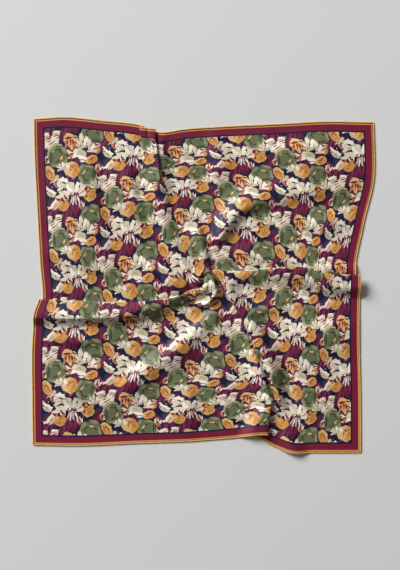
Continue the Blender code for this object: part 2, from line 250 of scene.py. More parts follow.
def ridge(x, y, rows):
    """Height of a soft ridge, with its own reach on each flank.

    It is the route's height times 1 less a soft step of the distance from the route over the reach.
    """
    best = np.full(x.shape, np.inf)
    along = np.zeros(x.shape)
    side = np.ones(x.shape)
    route = np.column_stack((rows["x"], rows["y"])).astype(float)
    for index in range(len(route) - 1):
        (ax, ay), (bx, by) = route[index], route[index + 1]
        length = math.hypot(bx - ax, by - ay)
        ux, uy = (bx - ax) / length, (by - ay) / length
        part = np.clip(((x - ax) * ux + (y - ay) * uy) / length, 0, 1)
        distance = np.hypot(x - ax - part * length * ux, y - ay - part * length * uy)
        nearer = distance < best
        best = np.where(nearer, distance, best)
        along = np.where(nearer, index + part, along)
        side = np.where(nearer, np.sign(ux * (y - ay) - uy * (x - ax)), side)
    stations = {"station": range(len(route)), **rows}
    height, left, right = (table(stations, "station", column, along)
                           for column in ("height", "left", "right"))
    return height * (1 - step(best / np.where(side > 0, left, right)))


def pleated(u, v):
    """Where each point of the flat square lies once the pleats are laid, with its height.

    Where pleats meet, the height is the cube root of the sum of the cubes of their lifts.
    """
    line_u, line_x = (table(NORTH_SOUTH_LINE, "v", column, v) for column in ("cloth", "laid"))
    line_v, line_y = (table(WEST_EAST_LINE, "u", column, u) for column in ("cloth", "laid"))
    x, y = line_x + u - line_u, line_y + v - line_v
    lifts = []
    for pleat in PLEATS:
        if pleat["across"] == "u":
            drawn, lift = fold(u - line_u, v, pleat)
            x = x - drawn
        else:
            drawn, lift = fold(v - line_v, u, pleat)
            y = y - drawn
        lifts.append(lift)
    return x, y, sum(lift ** 3 for lift in lifts) ** (1 / 3)


def laid(u, v):
    """The underside of the silk, in mm, for each point of the flat square.

    The pleated place is brought to the outline by a soft step of its distance from each hem. It is
    turned about the swirl by the turn times e to the minus power of the distance over the radius, and
    lifted by the ridges and creases.
    """
    x, y, z = pleated(u, v)
    ends = np.full(u.shape, HALF)
    for hem, edge_u, edge_v, depth in (
            ("north", u, ends, HALF - v), ("south", u, -ends, HALF + v),
            ("west", -ends, v, HALF + u), ("east", ends, v, HALF - u)):
        edge_x, edge_y, _ = pleated(edge_u, edge_v)
        near = 1 - step(depth / OUTLINE_REACH)
        if hem in ("north", "south"):
            y = y + near * (table(OUTLINE[hem], "station", "lies", u) - edge_y)
        else:
            x = x + near * (table(OUTLINE[hem], "station", "lies", v) - edge_x)
    reach = np.hypot(x - SWIRL_X, y - SWIRL_Y)
    turn = SWIRL_TURN * np.exp(-(reach / SWIRL_RADIUS) ** SWIRL_POWER)
    bearing = np.arctan2(y - SWIRL_Y, x - SWIRL_X) + turn
    x, y = SWIRL_X + reach * np.cos(bearing), SWIRL_Y + reach * np.sin(bearing)
    for rows in (*RIDGES, *CREASES):
        z = z + ridge(x, y, rows)
    return x - MIDDLE_X, y - MIDDLE_Y, z


# The shell. Twill is 0.15 mm thick in life, and 0.4 mm here so that both faces hold. Its grid is fine
# over the pleats and wider beyond them, and its lines bend to keep beside both fold lines.
SHELL_THICKNESS = 0.4
FINE_STEP = 2.2
WIDE_STEP = 4.6
OVER_NORTH_SOUTH = (-42.5, 42.5)
OVER_WEST_EAST = (-89.0, 31.0)
BENDING_ROUNDS = 12


def spread(low, high):
    """Grid lines across a fold line: close together from low to high, over the pleat, and wide beyond."""
    over_pleat = np.linspace(low, high, round((high - low) / FINE_STEP) + 1)
    before = np.linspace(-PANEL_HALF, low, round((PANEL_HALF + low) / WIDE_STEP) + 1)
    beyond = np.linspace(high, PANEL_HALF, round((PANEL_HALF - high) / WIDE_STEP) + 1)
    return np.concatenate((before[:-1], over_pleat, beyond[1:]))


def shifted(offsets, line, low, high):
    """Carries grid lines with a fold line that isn't at the middle, and keeps both ends at the edges.

    Those over the pleat move by as much as the line does, and the rest are spread evenly beyond.
    """
    before = -PANEL_HALF + (offsets + PANEL_HALF) * (line + low + PANEL_HALF) / (low + PANEL_HALF)
    beyond = PANEL_HALF - (PANEL_HALF - offsets) * (PANEL_HALF - line - high) / (PANEL_HALF - high)
    return np.where(offsets < low, before, np.where(offsets > high, beyond, offsets + line))


def bent_grid():
    """The flat square's points on grid lines that follow both fold lines.

    Each round shifts one set of lines by where the other set was, until both settle.
    """
    across_v, across_u = np.meshgrid(spread(*OVER_WEST_EAST), spread(*OVER_NORTH_SOUTH))
    u, v = across_u, across_v
    for _ in range(BENDING_ROUNDS):
        line_u = table(NORTH_SOUTH_LINE, "v", "cloth", v)
        line_v = table(WEST_EAST_LINE, "u", "cloth", u)
        u = shifted(across_u, line_u, *OVER_NORTH_SOUTH)
        v = shifted(across_v, line_v, *OVER_WEST_EAST)
    return u, v


def normals(points):
    """Unit normals of a grid of points: the cross product of its two directions."""
    normal = np.cross(np.gradient(points, axis=0), np.gradient(points, axis=1))
    return normal / np.linalg.norm(normal, axis=-1, keepdims=True)


def quads(count_a, count_b):
    """Corner numbers of the faces of a grid, wound so that they face along its normals."""
    index = np.arange(count_a * count_b).reshape(count_a, count_b)
    corners = (index[:-1, :-1], index[1:, :-1], index[1:, 1:], index[:-1, 1:])
    return np.stack(corners, axis=-1).reshape(-1, 4)


def piece(name, points, faces):
    """A mesh object at the origin from points in millimetres and faces of four corners."""
    mesh = bpy.data.meshes.new(name)
    mesh.from_pydata((points * MM).tolist(), [], faces.tolist())
    mesh.shade_smooth()
    made = bpy.data.objects.new(name, mesh)
    bpy.context.scene.collection.objects.link(made)
    return made


# Face and back lie half the thickness to each side of the middle, and a rim joins them at the edge.
flat_u, flat_v = bent_grid()
under = np.stack(laid(flat_u, flat_v), axis=-1)
lifted = normals(under)
middle = under + (0.0, 0.0, SHELL_THICKNESS / 2)
face_points = (middle + lifted * SHELL_THICKNESS / 2).reshape(-1, 3)
back_points = (middle - lifted * SHELL_THICKNESS / 2).reshape(-1, 3)
count_u, count_v = flat_u.shape
face_quads = quads(count_u, count_v)
back_quads = face_quads[:, ::-1] + len(face_points)
index = np.arange(count_u * count_v).reshape(count_u, count_v)
rim = np.concatenate((index[:, 0], index[-1, 1:], index[-2::-1, -1], index[0, -2:0:-1]))
rim_next = np.roll(rim, -1)
rim_quads = np.stack((rim, rim + len(face_points), rim_next + len(face_points), rim_next), axis=-1)
silk_square = piece("silk_square", np.concatenate((face_points, back_points)),
                    np.concatenate((face_quads, back_quads, rim_quads)))
silk_mesh = silk_square.data
# The print needs each point's place on the flat cloth, and which side of the cloth it is on.
flat_place = np.tile(np.stack((flat_u, flat_v), axis=-1).reshape(-1, 2) / SIDE + 0.5, (2, 1))
corner_of_loop = np.empty(len(silk_mesh.loops), dtype=np.int32)
silk_mesh.loops.foreach_get("vertex_index", corner_of_loop)
silk_mesh.uv_layers.new(name="flat_cloth").data.foreach_set("uv", flat_place[corner_of_loop].ravel())
reverse = silk_mesh.attributes.new("reverse", "FLOAT", "POINT")
reverse.data.foreach_set("value", np.repeat((0.0, 1.0), len(face_points)))

# The print: a half-drop repeat of brushed flowers, with a navy line, a burgundy border and an ochre
# margin. Its sizes are in millimetres of flat cloth, and the bands start that far in from the edge.
COLUMN = 152.0
REPEAT = 206.0
WAVER = 10
BANDS = (("navy", 27.5), ("burgundy", 23.5), ("margin", 8.0))
PALER_BEHIND = 0.22
TWILL_ANGLE = math.radians(-63)
DYES = {
    "navy": "121535", "teal": "173A56", "plum": "531633", "magenta": "752A50", "wine": "69122B",
    "green": "646A4C", "dark_green": "3B3F28", "light_green": "868B6B", "tan": "AFA47F",
    "ochre": "C58E4A", "light_ochre": "DAAE70", "brown": "B46C22", "coral": "C07446",
    "cream": "DED1BA", "white": "EFE4D3", "taupe": "A29676", "beige": "C2B597", "rose": "DDB6AA",
    "burgundy": "711734", "margin": "D09850", "undyed": "EFE6D6",
}
# Each motif about its own middle: dye, form, x, y, half length, half width and angle in degrees.
MOTIFS = {
    "cabbage_rose": (
        ("tan", "round", -3, -4, 27, 23, 20), ("dark_green", "round", 1, 0, 26, 24, 0),
        ("green", "round", -2, -4, 21, 19, 15), ("green", "round", -14, 9, 11, 9, 50),
        ("green", "round", 9, 15, 14, 8, -15), ("green", "round", 17, -4, 8, 15, 10),
        ("light_green", "leaf", -17, 11, 10, 4, 55), ("light_green", "leaf", 11, 19, 12, 4, -20),
        ("light_green", "leaf", 21, -3, 12, 3, 100), ("light_green", "leaf", -11, -15, 10, 4, -35),
        ("dark_green", "leaf", -8, 7, 13, 1.8, 35), ("dark_green", "leaf", 8, 4, 13, 2, -48),
        ("dark_green", "leaf", -15, -3, 11, 2, 105), ("dark_green", "leaf", 4, -17, 15, 2, 12),
        ("light_ochre", "leaf", 2, 8, 7, 2.4, -22)),
    "round_bloom": (
        ("beige", "round", -5, 1, 19, 19, 0), ("light_ochre", "round", 0, 0, 18, 19, 0),
        ("ochre", "round", 5, -1, 14, 17, 0), ("light_ochre", "leaf", -3, -6, 11, 3, 65),
        ("brown", "leaf", 8, 1, 13, 1.8, 72), ("brown", "leaf", 2, 8, 9, 1.6, 35),
        ("brown", "leaf", 13, -6, 8, 1.8, 110), ("wine", "round", -4, 3, 6, 3.4, 72),
        ("rose", "round", -4, 3, 3.4, 1.4, 72)),
    "oval_bloom": (
        ("wine", "round", 1, -1, 20, 14, 0), ("light_ochre", "round", 0, 0, 19, 12, 0),
        ("ochre", "round", 2, -2, 15, 9, 6), ("brown", "leaf", 6, 3, 11, 1.6, 12),
        ("brown", "leaf", -4, -5, 9, 1.6, -12), ("wine", "leaf", 1, 1, 6, 1.8, 60),
        ("wine", "leaf", -3, 0, 5, 1.6, -35), ("rose", "round", 0, -1, 2.4, 1.4, 30)),
    "ragged_bloom": (
        ("light_ochre", "round", 0, -2, 18, 14, 0), ("ochre", "leaf", 8, 4, 16, 7, 62),
        ("ochre", "leaf", -2, 5, 15, 6, 96), ("light_ochre", "leaf", -11, 3, 13, 5, 125),
        ("ochre", "round", 2, -6, 13, 8, 0), ("brown", "leaf", 4, -1, 13, 1.8, 76),
        ("brown", "leaf", 10, -4, 9, 1.6, 50), ("wine", "leaf", -10, -2, 8, 2.8, 70),
        ("coral", "leaf", -14, -7, 8, 3, 110), ("wine", "leaf", -4, 8, 6, 1.8, 20)),
    "heart_bloom": (
        ("light_ochre", "round", -6, 2, 10, 10, 0), ("ochre", "round", 7, 2, 11, 10, 0),
        ("ochre", "round", 0, -5, 13, 9, 0), ("brown", "leaf", 3, 4, 8, 1.8, 65),
        ("brown", "leaf", -3, -7, 9, 1.6, 10), ("wine", "leaf", 0, 11, 7, 2.6, -10),
        ("coral", "leaf", -8, 12, 6, 2.4, 50)),
    "burst": (
        ("light_ochre", "round", -2, 2, 14, 15, 0), ("coral", "leaf", 8, -6, 14, 5, -50),
        ("light_ochre", "leaf", 2, -12, 13, 4.4, -75), ("coral", "leaf", -8, -8, 12, 4, -105),
        ("light_ochre", "leaf", 12, 3, 10, 4, -20), ("wine", "leaf", -4, 6, 11, 2.6, 12),
        ("wine", "leaf", -6, -2, 9, 1.8, 78), ("wine", "leaf", 1, -3, 10, 1.8, 92),
        ("wine", "leaf", 8, -3, 9, 1.7, 104), ("wine", "leaf", 12, 8, 7, 2, -25)),
    "daisy": (
        ("cream", "petal", -20, 3, 13, 4.4, 165), ("white", "petal", -15, 13, 14, 4.6, 130),
        ("cream", "petal", -5, 17, 15, 5, 102), ("white", "petal", 7, 17, 15, 5, 74),
        ("cream", "petal", 16, 10, 14, 4.8, 42), ("cream", "petal", 21, -1, 13, 4, 8),
        ("taupe", "leaf", -5, 17, 9, 1, 102), ("taupe", "leaf", 15, 11, 8, 1, 48),
        ("wine", "leaf", 0, -3, 15, 2.4, 4), ("wine", "leaf", -10, 2, 7, 1.4, 40),
        ("wine", "leaf", 9, 2, 7, 1.4, 140), ("wine", "leaf", 0, 3, 6, 1.3, 90),
        ("rose", "leaf", -10, -14, 11, 2.4, 72), ("white", "leaf", -4, -17, 13, 2.2, 84),
        ("rose", "leaf", 3, -16, 13, 2.6, 97), ("white", "leaf", 10, -13, 10, 2.2, 112),
        ("magenta", "leaf", -1, -14, 8, 1.2, 88)),
    "pointed_petals": (
        ("wine", "round", -6, -8, 16, 6, 28), ("cream", "petal", -21, 5, 15, 4.2, 122),
        ("cream", "petal", -10, 8, 16, 4.4, 95), ("white", "petal", 2, 4, 15, 4.2, 72),
        ("cream", "petal", 12, -3, 14, 4.2, 88), ("white", "petal", 21, -11, 12, 4, 62),
        ("cream", "petal", 21, -20, 14, 3.6, 8), ("cream", "petal", -26, -7, 12, 3.8, 165),
        ("taupe", "leaf", -9, 4, 9, 1, 92), ("taupe", "leaf", 12, -6, 8, 1, 84),
        ("beige", "petal", -6, -11, 13, 3.4, 18), ("navy", "leaf", 6, -12, 6, 1.6, 30)),
    "bud": (
        ("cream", "round", 0, 0, 14, 9, 0), ("white", "leaf", 1, 5, 14, 4, 8),
        ("beige", "leaf", 1, -4, 14, 4, -8), ("taupe", "leaf", 1, 1, 10, 1.2, 4),
        ("taupe", "leaf", 3, -3, 8, 1.1, -10), ("white", "petal", -12, 5, 8, 2.6, 150),
        ("wine", "leaf", -13, -2, 7, 1.8, 20)),
    "loose_petals": (
        ("cream", "petal", -14, 15, 13, 4.8, 20), ("white", "petal", 8, 19, 13, 4.2, -20),
        ("cream", "petal", -6, 3, 13, 4.8, 35), ("beige", "petal", 13, 5, 13, 4.8, 10),
        ("cream", "petal", 0, -11, 14, 4.8, -12), ("white", "petal", 18, -10, 12, 4, -45),
        ("cream", "petal", -14, -18, 12, 4.2, 5), ("taupe", "leaf", -6, 3, 8, 1, 35),
        ("taupe", "leaf", 0, -11, 9, 1, -12), ("taupe", "leaf", 12, 4, 8, 1, 10)),
    "quills": (
        ("cream", "petal", -2, 12, 19, 4, 6), ("white", "petal", 0, 4, 20, 3.8, -2),
        ("cream", "petal", -1, -4, 19, 3.8, -8), ("white", "petal", 1, -12, 17, 3.6, -17),
        ("wine", "leaf", -2, 7, 12, 1.6, 2), ("wine", "leaf", 1, 0, 13, 1.6, -5),
        ("magenta", "leaf", 2, -7, 11, 1.4, -12), ("coral", "leaf", -16, -2, 7, 3, 60),
        ("rose", "leaf", 14, 8, 8, 2, 30)),
    "cup": (
        ("beige", "round", 0, 4, 18, 11, -20), ("cream", "leaf", -8, 9, 14, 4, 30),
        ("taupe", "leaf", 2, 6, 10, 1.4, -28), ("white", "leaf", 4, -7, 20, 4.4, -8),
        ("white", "leaf", -14, -4, 9, 4, 40), ("navy", "leaf", 2, -13, 16, 2, -5),
        ("navy", "leaf", -8, -9, 5, 1.8, -25), ("white", "leaf", 8, -16, 12, 2.6, -3)),
    "blades": (
        ("plum", "leaf", -10, 0, 27, 6, 62), ("magenta", "leaf", 0, 2, 28, 5, 66),
        ("wine", "leaf", 11, 4, 24, 5, 70), ("navy", "leaf", 5, -2, 22, 1.8, 67),
        ("magenta", "leaf", 16, 12, 12, 2.4, 72)),
    "wedge": (
        ("teal", "round", 3, 1, 21, 12, 30), ("navy", "round", -2, -3, 17, 11, 10),
        ("plum", "leaf", -5, 2, 22, 8, 118),
        ("wine", "leaf", 6, 2, 21, 7, 66), ("magenta", "leaf", -6, 5, 13, 2.6, 112),
        ("magenta", "leaf", 7, 4, 12, 2.2, 72)),
    "berry": (
        ("teal", "round", 0, 0, 16, 9, 0), ("navy", "round", 1, 0, 13, 8, 0),
        ("magenta", "round", 1, 0, 7, 5, 20), ("rose", "leaf", 1, 1, 3, 1, 20)),
    "dashes": (
        ("cream", "leaf", 0, 5, 9, 2.2, 15), ("rose", "leaf", 4, -1, 8, 2, 35),
        ("coral", "leaf", -7, -2, 6, 3, 70), ("white", "leaf", 2, -7, 8, 1.8, 5)),
}
# Where the motifs lie in the repeat, in the order of printing: motif, x, y, turn and size.
LAYOUT = (
    ("wedge", -42, 16, 0, 1.15), ("wedge", 12, -38, 90, 1.1), ("wedge", -12, 72, 20, 1.0),
    ("wedge", 60, 40, -40, 1.15), ("wedge", -60, -54, 30, 1.15), ("wedge", -20, -92, 70, 1.0),
    ("wedge", 32, 36, 70, 1.0), ("wedge", 62, -22, 10, 1.0), ("wedge", -92, 34, 150, 1.05),
    ("wedge", 28, -88, -20, 1.15), ("wedge", -44, 96, 60, 1.0),
    ("loose_petals", -74, 68, 10, 1.0), ("quills", 50, 76, 32, 1.0), ("quills", -88, -8, -150, 0.8),
    ("quills", -16, 80, 70, 0.6), ("loose_petals", 62, -20, 64, 0.7), ("cup", -28, -54, 0, 1.0),
    ("blades", 40, 102, 0, 1.0), ("blades", -66, -4, 8, 0.9), ("blades", 28, -30, -6, 0.9),
    ("blades", 26, -90, 36, 0.8), ("blades", -30, -82, 50, 0.7), ("blades", 30, 34, -10, 0.8),
    ("berry", -45, 92, 10, 1.0), ("berry", 64, 48, -30, 0.9), ("berry", 56, -24, 20, 0.8),
    ("dashes", 22, -84, 60, 1.1), ("dashes", -68, 46, 100, 1.0), ("dashes", 40, 38, 20, 1.1),
    ("dashes", -58, -56, 150, 1.2), ("dashes", 14, -26, -30, 1.0), ("dashes", -24, 28, 70, 1.0),
    ("dashes", -92, 84, 40, 1.0), ("bud", 44, -46, -32, 1.0), ("bud", 54, -76, 48, 1.0),
    ("bud", 34, -112, 10, 0.85), ("heart_bloom", -76, 26, 0, 1.0), ("heart_bloom", 16, -40, 40, 0.55),
    ("cabbage_rose", 4, 3, 0, 1.04), ("cabbage_rose", -8, 104, 75, 1.02),
    ("cabbage_rose", -84, -60, -100, 1.06), ("pointed_petals", -16, -24, 0, 0.94),
    ("burst", -54, -20, 0, 1.05), ("round_bloom", -46, -92, 0, 1.0), ("oval_bloom", 44, 4, -62, 1.0),
    ("oval_bloom", 4, -64, 18, 0.86), ("ragged_bloom", 0, 52, 0, 1.0), ("daisy", -42, 54, 0, 0.95),
    ("pointed_petals", 24, 78, 6, 0.6), ("pointed_petals", -72, -84, 30, 0.5),
)


def linear(colour):
    """An sRGB hex colour as linear values, by the sRGB curve."""
    parts = [int(colour[start:start + 2], 16) / 255 for start in (0, 2, 4)]
    return [part / 12.92 if part <= 0.04045 else ((part + 0.055) / 1.055) ** 2.4 for part in parts] + [1.0]


def node(tree, kind, settings=(), **inputs):
    """Adds a node: its settings by name, and its inputs by number or name as values or sockets."""
    made = tree.nodes.new(kind)
    for setting, value in dict(settings).items():
        setattr(made, setting, value)
    for socket, value in inputs.items():
        target = made.inputs[int(socket[1:]) if socket[1:].isdigit() else socket.replace("_", " ")]
        if isinstance(value, bpy.types.NodeSocket):
            tree.links.new(value, target)
        else:
            target.default_value = value
    return made.outputs


def axes(tree, place, x, y, length, width, angle):
    """How far a place (x, y, 1) lies along and across an angle from a middle, in lengths and widths.

    Each is the place's dot product with the axis over its unit, and with the middle's own share.
    """
    cosine, sine = math.cos(math.radians(angle)), math.sin(math.radians(angle))
    along = (cosine / length, sine / length, -(x * cosine + y * sine) / length)
    across = (-sine / width, cosine / width, (x * sine - y * cosine) / width)
    return [node(tree, "ShaderNodeVectorMath", {"operation": "DOT_PRODUCT"}, _0=place, _1=axis)[1]
            for axis in (along, across)]


def inside(tree, place, form, *shape):
    """1 inside a brush stroke and 0 outside it, from how far along and across it each place is.

    round: along squared + across squared < 1; leaf: along squared + the size of across < 1;
    petal: as round, with across squared times 0.8 - along / 2, or 0.2 if more, for a blunt end ahead.
    """
    along, across = axes(tree, place, *shape)
    if form == "leaf":
        spread_out = node(tree, "ShaderNodeMath", {"operation": "ABSOLUTE"}, _0=across)[0]
    else:
        spread_out = node(tree, "ShaderNodeMath", {"operation": "MULTIPLY"}, _0=across, _1=across)[0]
    if form == "petal":
        blunt = node(tree, "ShaderNodeMath", {"operation": "MULTIPLY_ADD"}, _0=along, _1=-0.5, _2=0.8)[0]
        blunt = node(tree, "ShaderNodeMath", {"operation": "MAXIMUM"}, _0=blunt, _1=0.2)[0]
        spread_out = node(tree, "ShaderNodeMath", {"operation": "MULTIPLY"}, _0=spread_out, _1=blunt)[0]
    reach = node(tree, "ShaderNodeMath", {"operation": "MULTIPLY_ADD"}, _0=along, _1=along,
                 _2=spread_out)[0]
    return node(tree, "ShaderNodeMath", {"operation": "LESS_THAN"}, _0=reach, _1=1.0)[0]


def motif_group(name, strokes):
    """A node group that prints one motif's strokes, in order, over the colour below them."""
    group = bpy.data.node_groups.new(name, "ShaderNodeTree")
    group.interface.new_socket("Place", in_out="INPUT", socket_type="NodeSocketVector")
    group.interface.new_socket("Ground", in_out="INPUT", socket_type="NodeSocketColor")
    group.interface.new_socket("Print", in_out="OUTPUT", socket_type="NodeSocketColor")
    place, colour = node(group, "NodeGroupInput")[:2]
    for dye, form, *shape in strokes:
        where = inside(group, place, form, *shape)
        colour = node(group, "ShaderNodeMix", {"data_type": "RGBA"}, _0=where, _6=colour,
                      _7=linear(DYES[dye]))[2]
    node(group, "NodeGroupOutput", _0=colour)
    return group


def wrapped(x, y, start_x, start_y):
    """A place's x and y in the cell of the half-drop repeat that has its middle at the start."""
    column = math.floor((x - start_x) / COLUMN + 0.5)
    x, y = x - start_x - COLUMN * column, y - start_y - REPEAT / 2 * column
    return x, y - REPEAT * math.floor(y / REPEAT + 0.5)


def cell(tree, flat, start_x, start_y):
    """The flat place wrapped into a cell of the half-drop repeat, as in wrapped, with wavering edges.

    A noise near a half, with waves 8 mm long and finer ones on them, times the waver and less half of
    it moves each place by about 2 mm, as a loaded brush's edge wavers. The third number becomes 1,
    for axes.
    """
    moved = node(tree, "ShaderNodeVectorMath", {"operation": "SUBTRACT"}, _0=flat,
                 _1=(start_x, start_y, 0))[0]
    across = node(tree, "ShaderNodeSeparateXYZ", _0=moved)[0]
    column = node(tree, "ShaderNodeMath", {"operation": "MULTIPLY_ADD"}, _0=across, _1=1 / COLUMN,
                  _2=0.5)[0]
    column = node(tree, "ShaderNodeMath", {"operation": "FLOOR"}, _0=column)[0]
    drop = node(tree, "ShaderNodeVectorMath", {"operation": "MULTIPLY"}, _0=column,
                _1=(0, REPEAT / 2, 0))[0]
    moved = node(tree, "ShaderNodeVectorMath", {"operation": "SUBTRACT"}, _0=moved, _1=drop)[0]
    place = node(tree, "ShaderNodeVectorMath", {"operation": "WRAP"}, _0=moved,
                 _1=(COLUMN / 2, REPEAT / 2, 1), _2=(-COLUMN / 2, -REPEAT / 2, -1))[0]
    waver = node(tree, "ShaderNodeTexNoise", Vector=place, Scale=0.12, Detail=3.0, Roughness=0.72)[1]
    waver = node(tree, "ShaderNodeVectorMath", {"operation": "MULTIPLY_ADD"}, _0=waver,
                 _1=(WAVER, WAVER, 0), _2=place)[0]
    return node(tree, "ShaderNodeVectorMath", {"operation": "SUBTRACT"}, _0=waver,
                _1=(WAVER / 2, WAVER / 2, -1))[0]


# Printed silk twill, dyed with acid dyes and steamed: flat, clear colours, each a little streaked, with
# a low satin gleam along the folds that face the light and a fine slanting line close up.
twill = bpy.data.materials.new("printed_silk_twill")
twill.use_nodes = True
tree = twill.node_tree
shader = tree.nodes["Principled BSDF"]
flat = node(tree, "ShaderNodeUVMap", {"uv_map": "flat_cloth"})[0]
flat = node(tree, "ShaderNodeVectorMath", {"operation": "MULTIPLY_ADD"}, _0=flat,
            _1=(SIDE, SIDE, 0), _2=(-HALF, -HALF, 0))[0]
cells = {(start_x, start_y): cell(tree, flat, start_x, start_y)
         for start_x in (0.0, COLUMN / 2) for start_y in (0.0, REPEAT / 2)}
groups = {name: motif_group(name, strokes) for name, strokes in MOTIFS.items()}
# Four cells overlap by half, and each motif is printed in the one whose edges lie farthest from it, so
# that no edge cuts it.
colour = linear(DYES["navy"])
for name, x, y, turn, size in LAYOUT:
    best = max(cells, key=lambda start: min(
        COLUMN / 2 - abs(wrapped(x, y, *start)[0]), REPEAT / 2 - abs(wrapped(x, y, *start)[1])))
    along, across = axes(tree, cells[best], *wrapped(x, y, *best), size, size, turn)
    place = node(tree, "ShaderNodeCombineXYZ", X=along, Y=across, Z=1.0)[0]
    colour = node(tree, "ShaderNodeGroup", {"node_tree": groups[name]}, Place=place, Ground=colour)[0]
# The brush leaves each colour streaked, a little lighter and darker, in streaks about 17 mm long and
# 2.5 mm wide.
streaks = node(tree, "ShaderNodeMapping", Vector=flat, Rotation=(0, 0, 1.0), Scale=(0.06, 0.4, 1.0))[0]
streaks = node(tree, "ShaderNodeTexNoise", Vector=streaks, Scale=1.0, Detail=3.0, Roughness=0.6)[0]
streaks = node(tree, "ShaderNodeMapRange", Value=streaks, From_Min=0.25, From_Max=0.75, To_Min=0.78,
               To_Max=1.2)[0]
colour = node(tree, "ShaderNodeVectorMath", {"operation": "SCALE"}, _0=colour, Scale=streaks)[0]
# The bands lie along the hems, each over the last.
outward = node(tree, "ShaderNodeVectorMath", {"operation": "ABSOLUTE"}, _0=flat)[0]
outward = node(tree, "ShaderNodeSeparateXYZ", _0=outward)
outward = node(tree, "ShaderNodeMath", {"operation": "MAXIMUM"}, _0=outward[0], _1=outward[1])[0]
for dye, start in BANDS:
    beyond = node(tree, "ShaderNodeMath", {"operation": "GREATER_THAN"}, _0=outward, _1=HALF - start)[0]
    colour = node(tree, "ShaderNodeMix", {"data_type": "RGBA"}, _0=beyond, _6=colour,
                  _7=linear(DYES[dye]))[2]
# The dye reaches the back a little paler.
behind = node(tree, "ShaderNodeAttribute", {"attribute_name": "reverse"})[2]
behind = node(tree, "ShaderNodeMath", {"operation": "MULTIPLY"}, _0=behind, _1=PALER_BEHIND)[0]
colour = node(tree, "ShaderNodeMix", {"data_type": "RGBA"}, _0=behind, _6=colour,
              _7=linear(DYES["undyed"]))[2]
tree.links.new(colour, shader.inputs["Base Color"])
# Twill lines run at 63 degrees. Real ones are 0.4 mm apart, and these are drawn 1.2 mm apart, which is
# 0.314 over the wave's scale, to be seen close up.
lines = node(tree, "ShaderNodeMapping", Vector=flat, Rotation=(0, 0, TWILL_ANGLE))[0]
lines = node(tree, "ShaderNodeTexWave", {"bands_direction": "Y"}, Vector=lines, Scale=0.262)[1]
bump = node(tree, "ShaderNodeBump", Strength=0.12, Distance=0.0001, Height=lines)[0]
tree.links.new(bump, shader.inputs["Normal"])
shader.inputs["Roughness"].default_value = 0.48
shader.inputs["Specular IOR Level"].default_value = 0.27
silk_mesh.materials.append(twill)
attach(silk_square, "root")
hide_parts("silk_panel")

# ---------------------------------------------------------------------------------------------
# The hems: the ochre margin of each side, rolled under by hand to a round edge 3 mm thick. A stitch
# every 6 mm pulls the roll in, so that it puckers. The north and south hems run past the corners, and
# the other two end against them.
# ---------------------------------------------------------------------------------------------
ROLL_RADIUS = 1.55
ROLL_OUT = 1.0
ROLL_SIDES = 12
ROLL_STEP = 1.5
STITCH_PITCH = 6.0
PUCKER = 0.14
ROUND_END = 1.6
THINNEST_END = 0.02


def hem_frame(u, v, inward, beyond):
    """The route of a hem's roll, with its directions along, outward and up at each point.

    Out is the way the sheet runs off its edge, square to the edge. The route is the edge moved out and
    raised by the roll's radius, with both ends lengthened past the corners.
    """
    edge = np.stack(laid(u, v), axis=-1)
    inner = np.stack(laid(u + inward[0], v + inward[1]), axis=-1)
    along = np.gradient(edge, axis=0)
    along /= np.linalg.norm(along, axis=1, keepdims=True)
    out = edge - inner
    out -= along * np.sum(out * along, axis=1, keepdims=True)
    out /= np.linalg.norm(out, axis=1, keepdims=True)
    up = np.cross(along, out)
    up *= np.sign(up[:, 2:3])
    route = edge + out * ROLL_OUT + (0, 0, ROLL_RADIUS)
    route[0] -= along[0] * beyond
    route[-1] += along[-1] * beyond
    return route, along, out, up


def roll(route, out, up, length):
    """Points of a roll round its route, with length the distance run at each ring.

    Its radius shrinks by the pucker where a stitch pulls: radius times 1 - pucker * cos(half a turn
    per pitch) ** 8, and runs out to nothing in a quarter circle at both ends.
    """
    pull = 1 - PUCKER * np.cos(math.pi * length / STITCH_PITCH) ** 8
    from_end = np.clip(np.minimum(length, length[-1] - length) / ROUND_END, THINNEST_END, 1)
    radius = ROLL_RADIUS * pull * np.sqrt(1 - (1 - from_end) ** 2)
    turn = np.linspace(0, 2 * math.pi, ROLL_SIDES, endpoint=False)[None, :, None]
    ring = np.cos(turn) * out[:, None, :] + np.sin(turn) * up[:, None, :]
    return route[:, None, :] + radius[:, None, None] * ring


def tube_quads(rings, sides):
    """Corner numbers of a tube's faces, ring to ring and round each ring."""
    index = np.arange(rings * sides).reshape(rings, sides)
    ahead = np.roll(index, -1, axis=1)
    return np.stack((index[:-1], index[1:], ahead[1:], ahead[:-1]), axis=-1).reshape(-1, 4)


# The same twill, dyed ochre with the margin and rolled tight: mottled every 5 mm or so, with a slanting
# line and a soft gleam along its crown. Its lines are 1.4 mm apart, coarser than real ones, to be seen
# close up.
hem_silk = bpy.data.materials.new("ochre_silk_hem")
hem_silk.use_nodes = True
tree = hem_silk.node_tree
shader = tree.nodes["Principled BSDF"]
place = node(tree, "ShaderNodeTexCoord")[3]
mottle = node(tree, "ShaderNodeTexNoise", Vector=place, Scale=220.0, Detail=3.0)[0]
mottle = node(tree, "ShaderNodeMapRange", Value=mottle, From_Min=0.3, From_Max=0.7)[0]
colour = node(tree, "ShaderNodeMix", {"data_type": "RGBA"}, _0=mottle, _6=linear("C68C46"),
              _7=linear("E2B072"))[2]
tree.links.new(colour, shader.inputs["Base Color"])
weave = node(tree, "ShaderNodeTexWave", {"bands_direction": "DIAGONAL"}, Vector=place, Scale=260.0)[1]
bump = node(tree, "ShaderNodeBump", Strength=0.2, Distance=0.0001, Height=weave)[0]
tree.links.new(bump, shader.inputs["Normal"])
shader.inputs["Roughness"].default_value = 0.5

